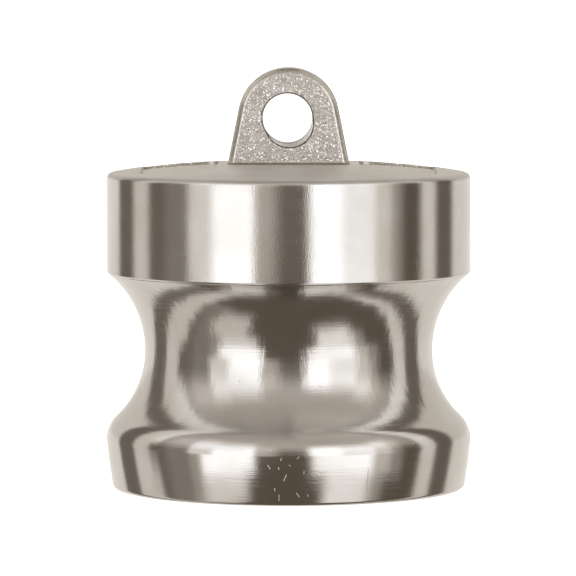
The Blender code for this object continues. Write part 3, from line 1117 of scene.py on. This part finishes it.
# %% The cast steel
def finish_cast_steel():
    tree, shader = start_material(cast_steel)
    place, z, _, _ = at_point(tree)
    rounded = rounded_mask(tree, place)
    rough_skin = node(tree, "ShaderNodeMath", {0: 1.0, 1: rounded}, operation="SUBTRACT")
    values = {"Vector": place, "Scale": 1 / CRATER_WIDTH}
    cells = node(tree, "ShaderNodeTexVoronoi", values, feature="F1").outputs["Color"]
    spark = node(tree, "ShaderNodeSeparateColor", {0: cells}).outputs["Blue"]
    chosen = node(tree, "ShaderNodeMapRange", between(spark, *SPARK_RANGE), **SMOOTH)
    flashing = node(tree, "ShaderNodeMath", {0: chosen, 1: rough_skin}, operation="MULTIPLY")
    values = {"Vector": place, "Scale": 1 / FINE_CRATER_WIDTH, "Detail": 2.0}
    fine = node(tree, "ShaderNodeTexNoise", values)
    values = {"Vector": place, "Scale": 1 / PATCH_WIDTH, "Detail": 3.0}
    patches = node(tree, "ShaderNodeTexNoise", values)

    facing = crater_normal(tree, cells, flashing, rough_skin)
    values = {"Height": fine, "Distance": FINE_CRATER_DEPTH, "Strength": rough_skin, "Normal": facing}
    bump = node(tree, "ShaderNodeBump", values)
    tree.links.new(bump.outputs[0], shader.inputs["Normal"])
    tree.links.new(cast_colour(tree, z, fine, patches), shader.inputs["Base Color"])
    roughness = cast_roughness(tree, patches, flashing, rounded)
    tree.links.new(roughness, shader.inputs["Roughness"])
    print(cast_steel.name, "has", len(tree.nodes), "nodes")


finish_cast_steel()

# %% [markdown]
# ## The studio
#
# Polished metal shows its surroundings, so a photographer shapes the surroundings: white panels
# to both sides, narrow dark flags between them, and a dark gap round the lens. Area lamps could
# stand for the panels. Here the whole studio is one world shader instead: the direction of each
# reflection becomes a bearing, in degrees round from the front, and an elevation, and every panel
# is a soft-edged patch on that sphere. Each line below is one panel: its bearings from left to
# right, its elevations from low to high, how bright it is, and how soft its sides, foot and top
# are. The two brightest are the key lights. Panels that end at an elevation of -7 stand on the
# table's edge, and the dimmer ones below it are their reflections in the table. The camera
# itself sees plain white.

# %% Panels and flags
SHADE = colour("#6B6257")
BOUNCED_WHITE = colour("#FFFBF3")
LAMP_WHITE = colour("#FAFCFF")
Panel = collections.namedtuple("Panel", "left right low high brightness side foot top", defaults=(4, 4, 10))
PANELS = [
    Panel(-182, -84, -75, 75, 0.06),
    Panel(-182, -135, -75, 2, 0.75, top=3),
    Panel(-182, -135, 2, 75, 0.6, foot=3),
    Panel(-115, -99, -75, 75, 0.66, side=3),
    Panel(-99, -92, 14, 75, 0.7, side=3, foot=20),
    Panel(-99, -92, -75, -14, 0.7, side=3, top=20),
    Panel(-84, -66, -60, 40, 0.17, side=8),
    Panel(-66, -49, -7, 36, 0.9, side=3, foot=3, top=30),
    Panel(-49, -22, -7, 24, 1.75, foot=3, top=50),
    Panel(-66, -56, -30, -7, 0.3, foot=16, top=3),
    Panel(-57, -21.5, -18.5, -7, 1.65, side=6, foot=2.5, top=3),
    Panel(-57, -27, -30, -18.5, 0.9, side=9, foot=12, top=2.5),
    Panel(-68, -36, -54, -30, 0.66, side=8, foot=18, top=12),
    Panel(-25, -8, -7, 24, 0.5, side=10, foot=3, top=30),
    Panel(-8, 9, -5, 14, 0.07, foot=3),
    Panel(13, 33, -7, 25, 1.9, side=6, foot=3, top=26),
    Panel(15, 55, -18.5, -7, 1.65, side=7, foot=2.5, top=3),
    Panel(55, 68, -18.5, -7, 0.6, side=6, foot=2.5, top=3),
    Panel(68, 77, -18.5, -7, 0.25, side=6, foot=2.5, top=3),
    Panel(23, 54, -42, -18.5, 1.1, side=11, foot=22, top=2.5),
    Panel(54, 64, -34, -18.5, 0.3, side=8, foot=22, top=2.5),
    Panel(33, 56, -7, 25, 1.3, foot=3, top=26),
    Panel(56, 68, -7, 34, 0.8, side=6, foot=3, top=20),
    Panel(68, 76, -7, 40, 0.3, side=6, foot=3, top=20),
    Panel(92, 106, -75, 75, 0.75, side=3),
    Panel(91, 182, -75, 75, 0.04),
    Panel(126, 182, -75, 2, 0.75, top=3),
    Panel(126, 182, 2, 75, 0.6, foot=3),
    Panel(-95, 95, 16, 200, 0.2, side=40, foot=26),
    Panel(-95, 95, 16, 62, 0.28, side=40, foot=26, top=50),
    Panel(-60, -8, 60, 130, 0.08, side=12, foot=24, top=30),
    Panel(8, 80, 56, 130, 0.2, side=12, foot=24, top=30),
]


def soft_edges(panel, bearing, elevation):
    """Map Range inputs for a panel's left and right sides, its foot and its top."""
    return [
        between(bearing, panel.left - panel.side / 2, panel.left + panel.side / 2),
        between(bearing, panel.right + panel.side / 2, panel.right - panel.side / 2),
        between(elevation, panel.low - panel.foot / 2, panel.low + panel.foot / 2),
        between(elevation, panel.high + panel.top / 2, panel.high - panel.top / 2),
    ]


def build_studio():
    world = bpy.data.worlds.new("studio")
    bpy.context.scene.world = world
    world.use_nodes = True
    tree = world.node_tree
    tree.nodes.clear()
    direction = node(tree, "ShaderNodeTexCoord").outputs["Generated"]
    x, y, z = node(tree, "ShaderNodeSeparateXYZ", {0: direction}).outputs
    front = node(tree, "ShaderNodeMath", {0: 0.0, 1: y}, operation="SUBTRACT")
    around = node(tree, "ShaderNodeMath", {0: x, 1: front}, operation="ARCTAN2")
    bearing = node(tree, "ShaderNodeMath", {0: around}, operation="DEGREES")
    upward = node(tree, "ShaderNodeMath", {0: z}, operation="ARCSINE")
    elevation = node(tree, "ShaderNodeMath", {0: upward}, operation="DEGREES")
    light = 0.0
    for panel in PANELS:
        patch = panel.brightness
        for values in soft_edges(panel, bearing, elevation):
            edge = node(tree, "ShaderNodeMapRange", values, **SMOOTH)
            patch = node(tree, "ShaderNodeMath", {0: patch, 1: edge}, operation="MULTIPLY")
        light = node(tree, "ShaderNodeMath", {0: light, 1: patch}, operation="ADD")
    shade = node(tree, "ShaderNodeBackground", {"Color": SHADE, "Strength": 1.0})
    strong = node(tree, "ShaderNodeMapRange", between(light, 0.5, 1.5), **SMOOTH)
    values = {"Factor": strong, "A": BOUNCED_WHITE, "B": LAMP_WHITE}
    tint = node(tree, "ShaderNodeMix", values, data_type="RGBA")
    panels = node(tree, "ShaderNodeBackground", {"Color": tint.outputs["Result"], "Strength": light})
    studio = node(tree, "ShaderNodeAddShader", {0: shade, 1: panels})
    white = node(tree, "ShaderNodeBackground", {"Color": colour("#FFFFFF"), "Strength": 1.0})
    seen = node(tree, "ShaderNodeLightPath").outputs["Is Camera Ray"]
    shown = node(tree, "ShaderNodeMixShader", {0: seen, 1: studio, 2: white})
    node(tree, "ShaderNodeOutputWorld", {"Surface": shown})
    bpy.context.scene.view_settings.view_transform = "Standard"
    print("studio with", len(PANELS), "panels")


build_studio()

# %% [markdown]
# ## The floor
#
# The plug stands on a pale light table. The table glows, so that only a breath of shadow is left
# under the nose, and it isn't seen in reflections, because the studio already has its own lower
# half. It lies a hair below the plug, because two faces in one plane flicker into each other.

# %% Light table
FLOOR_REACH = 60.0
FLOOR_GAP = 0.02 * MM


def lay_floor():
    shape = bmesh.new()
    bmesh.ops.create_grid(shape, x_segments=1, y_segments=1, size=FLOOR_REACH)
    bmesh.ops.translate(shape, verts=shape.verts[:], vec=(0.0, 0.0, -FLOOR_GAP))
    mesh = bpy.data.meshes.new("light_table")
    shape.to_mesh(mesh)
    shape.free()
    floor = link_object("light_table", mesh)
    table = bpy.data.materials.new("Opal acrylic, lit from below")
    tree, shader = start_material(table)
    shader.inputs["Metallic"].default_value = 0.0
    shader.inputs["Base Color"].default_value = colour("#F4F4F2")
    shader.inputs["Roughness"].default_value = 0.8
    shader.inputs["Emission Color"].default_value = colour("#FFFFFF")
    shader.inputs["Emission Strength"].default_value = 0.8
    mesh.materials.append(table)
    floor.visible_glossy = False


lay_floor()

# %% [markdown]
# ## The camera
#
# A product picture is taken from far away with a long lens, so that the rings stay almost straight
# lines, and from a little above the part, so that its top shows as a thin band.

# %% Long lens, a little above
CAMERA_DISTANCE = 0.7966
CAMERA_HEIGHT = 0.0898
CAMERA_DIP = 0.0694
SENSOR = 36.0
LENS = 288.83


def place_camera():
    data = bpy.data.cameras.new("camera")
    data.sensor_width = SENSOR
    data.lens = LENS
    data.shift_x = -0.0011
    data.clip_end = 200.0
    camera = bpy.data.objects.new("camera", data)
    camera.location = (0.0, -CAMERA_DISTANCE, CAMERA_HEIGHT)
    camera.rotation_euler = (math.pi / 2 - CAMERA_DIP, 0.0, 0.0)
    bpy.context.scene.collection.objects.link(camera)
    bpy.context.scene.camera = camera


place_camera()
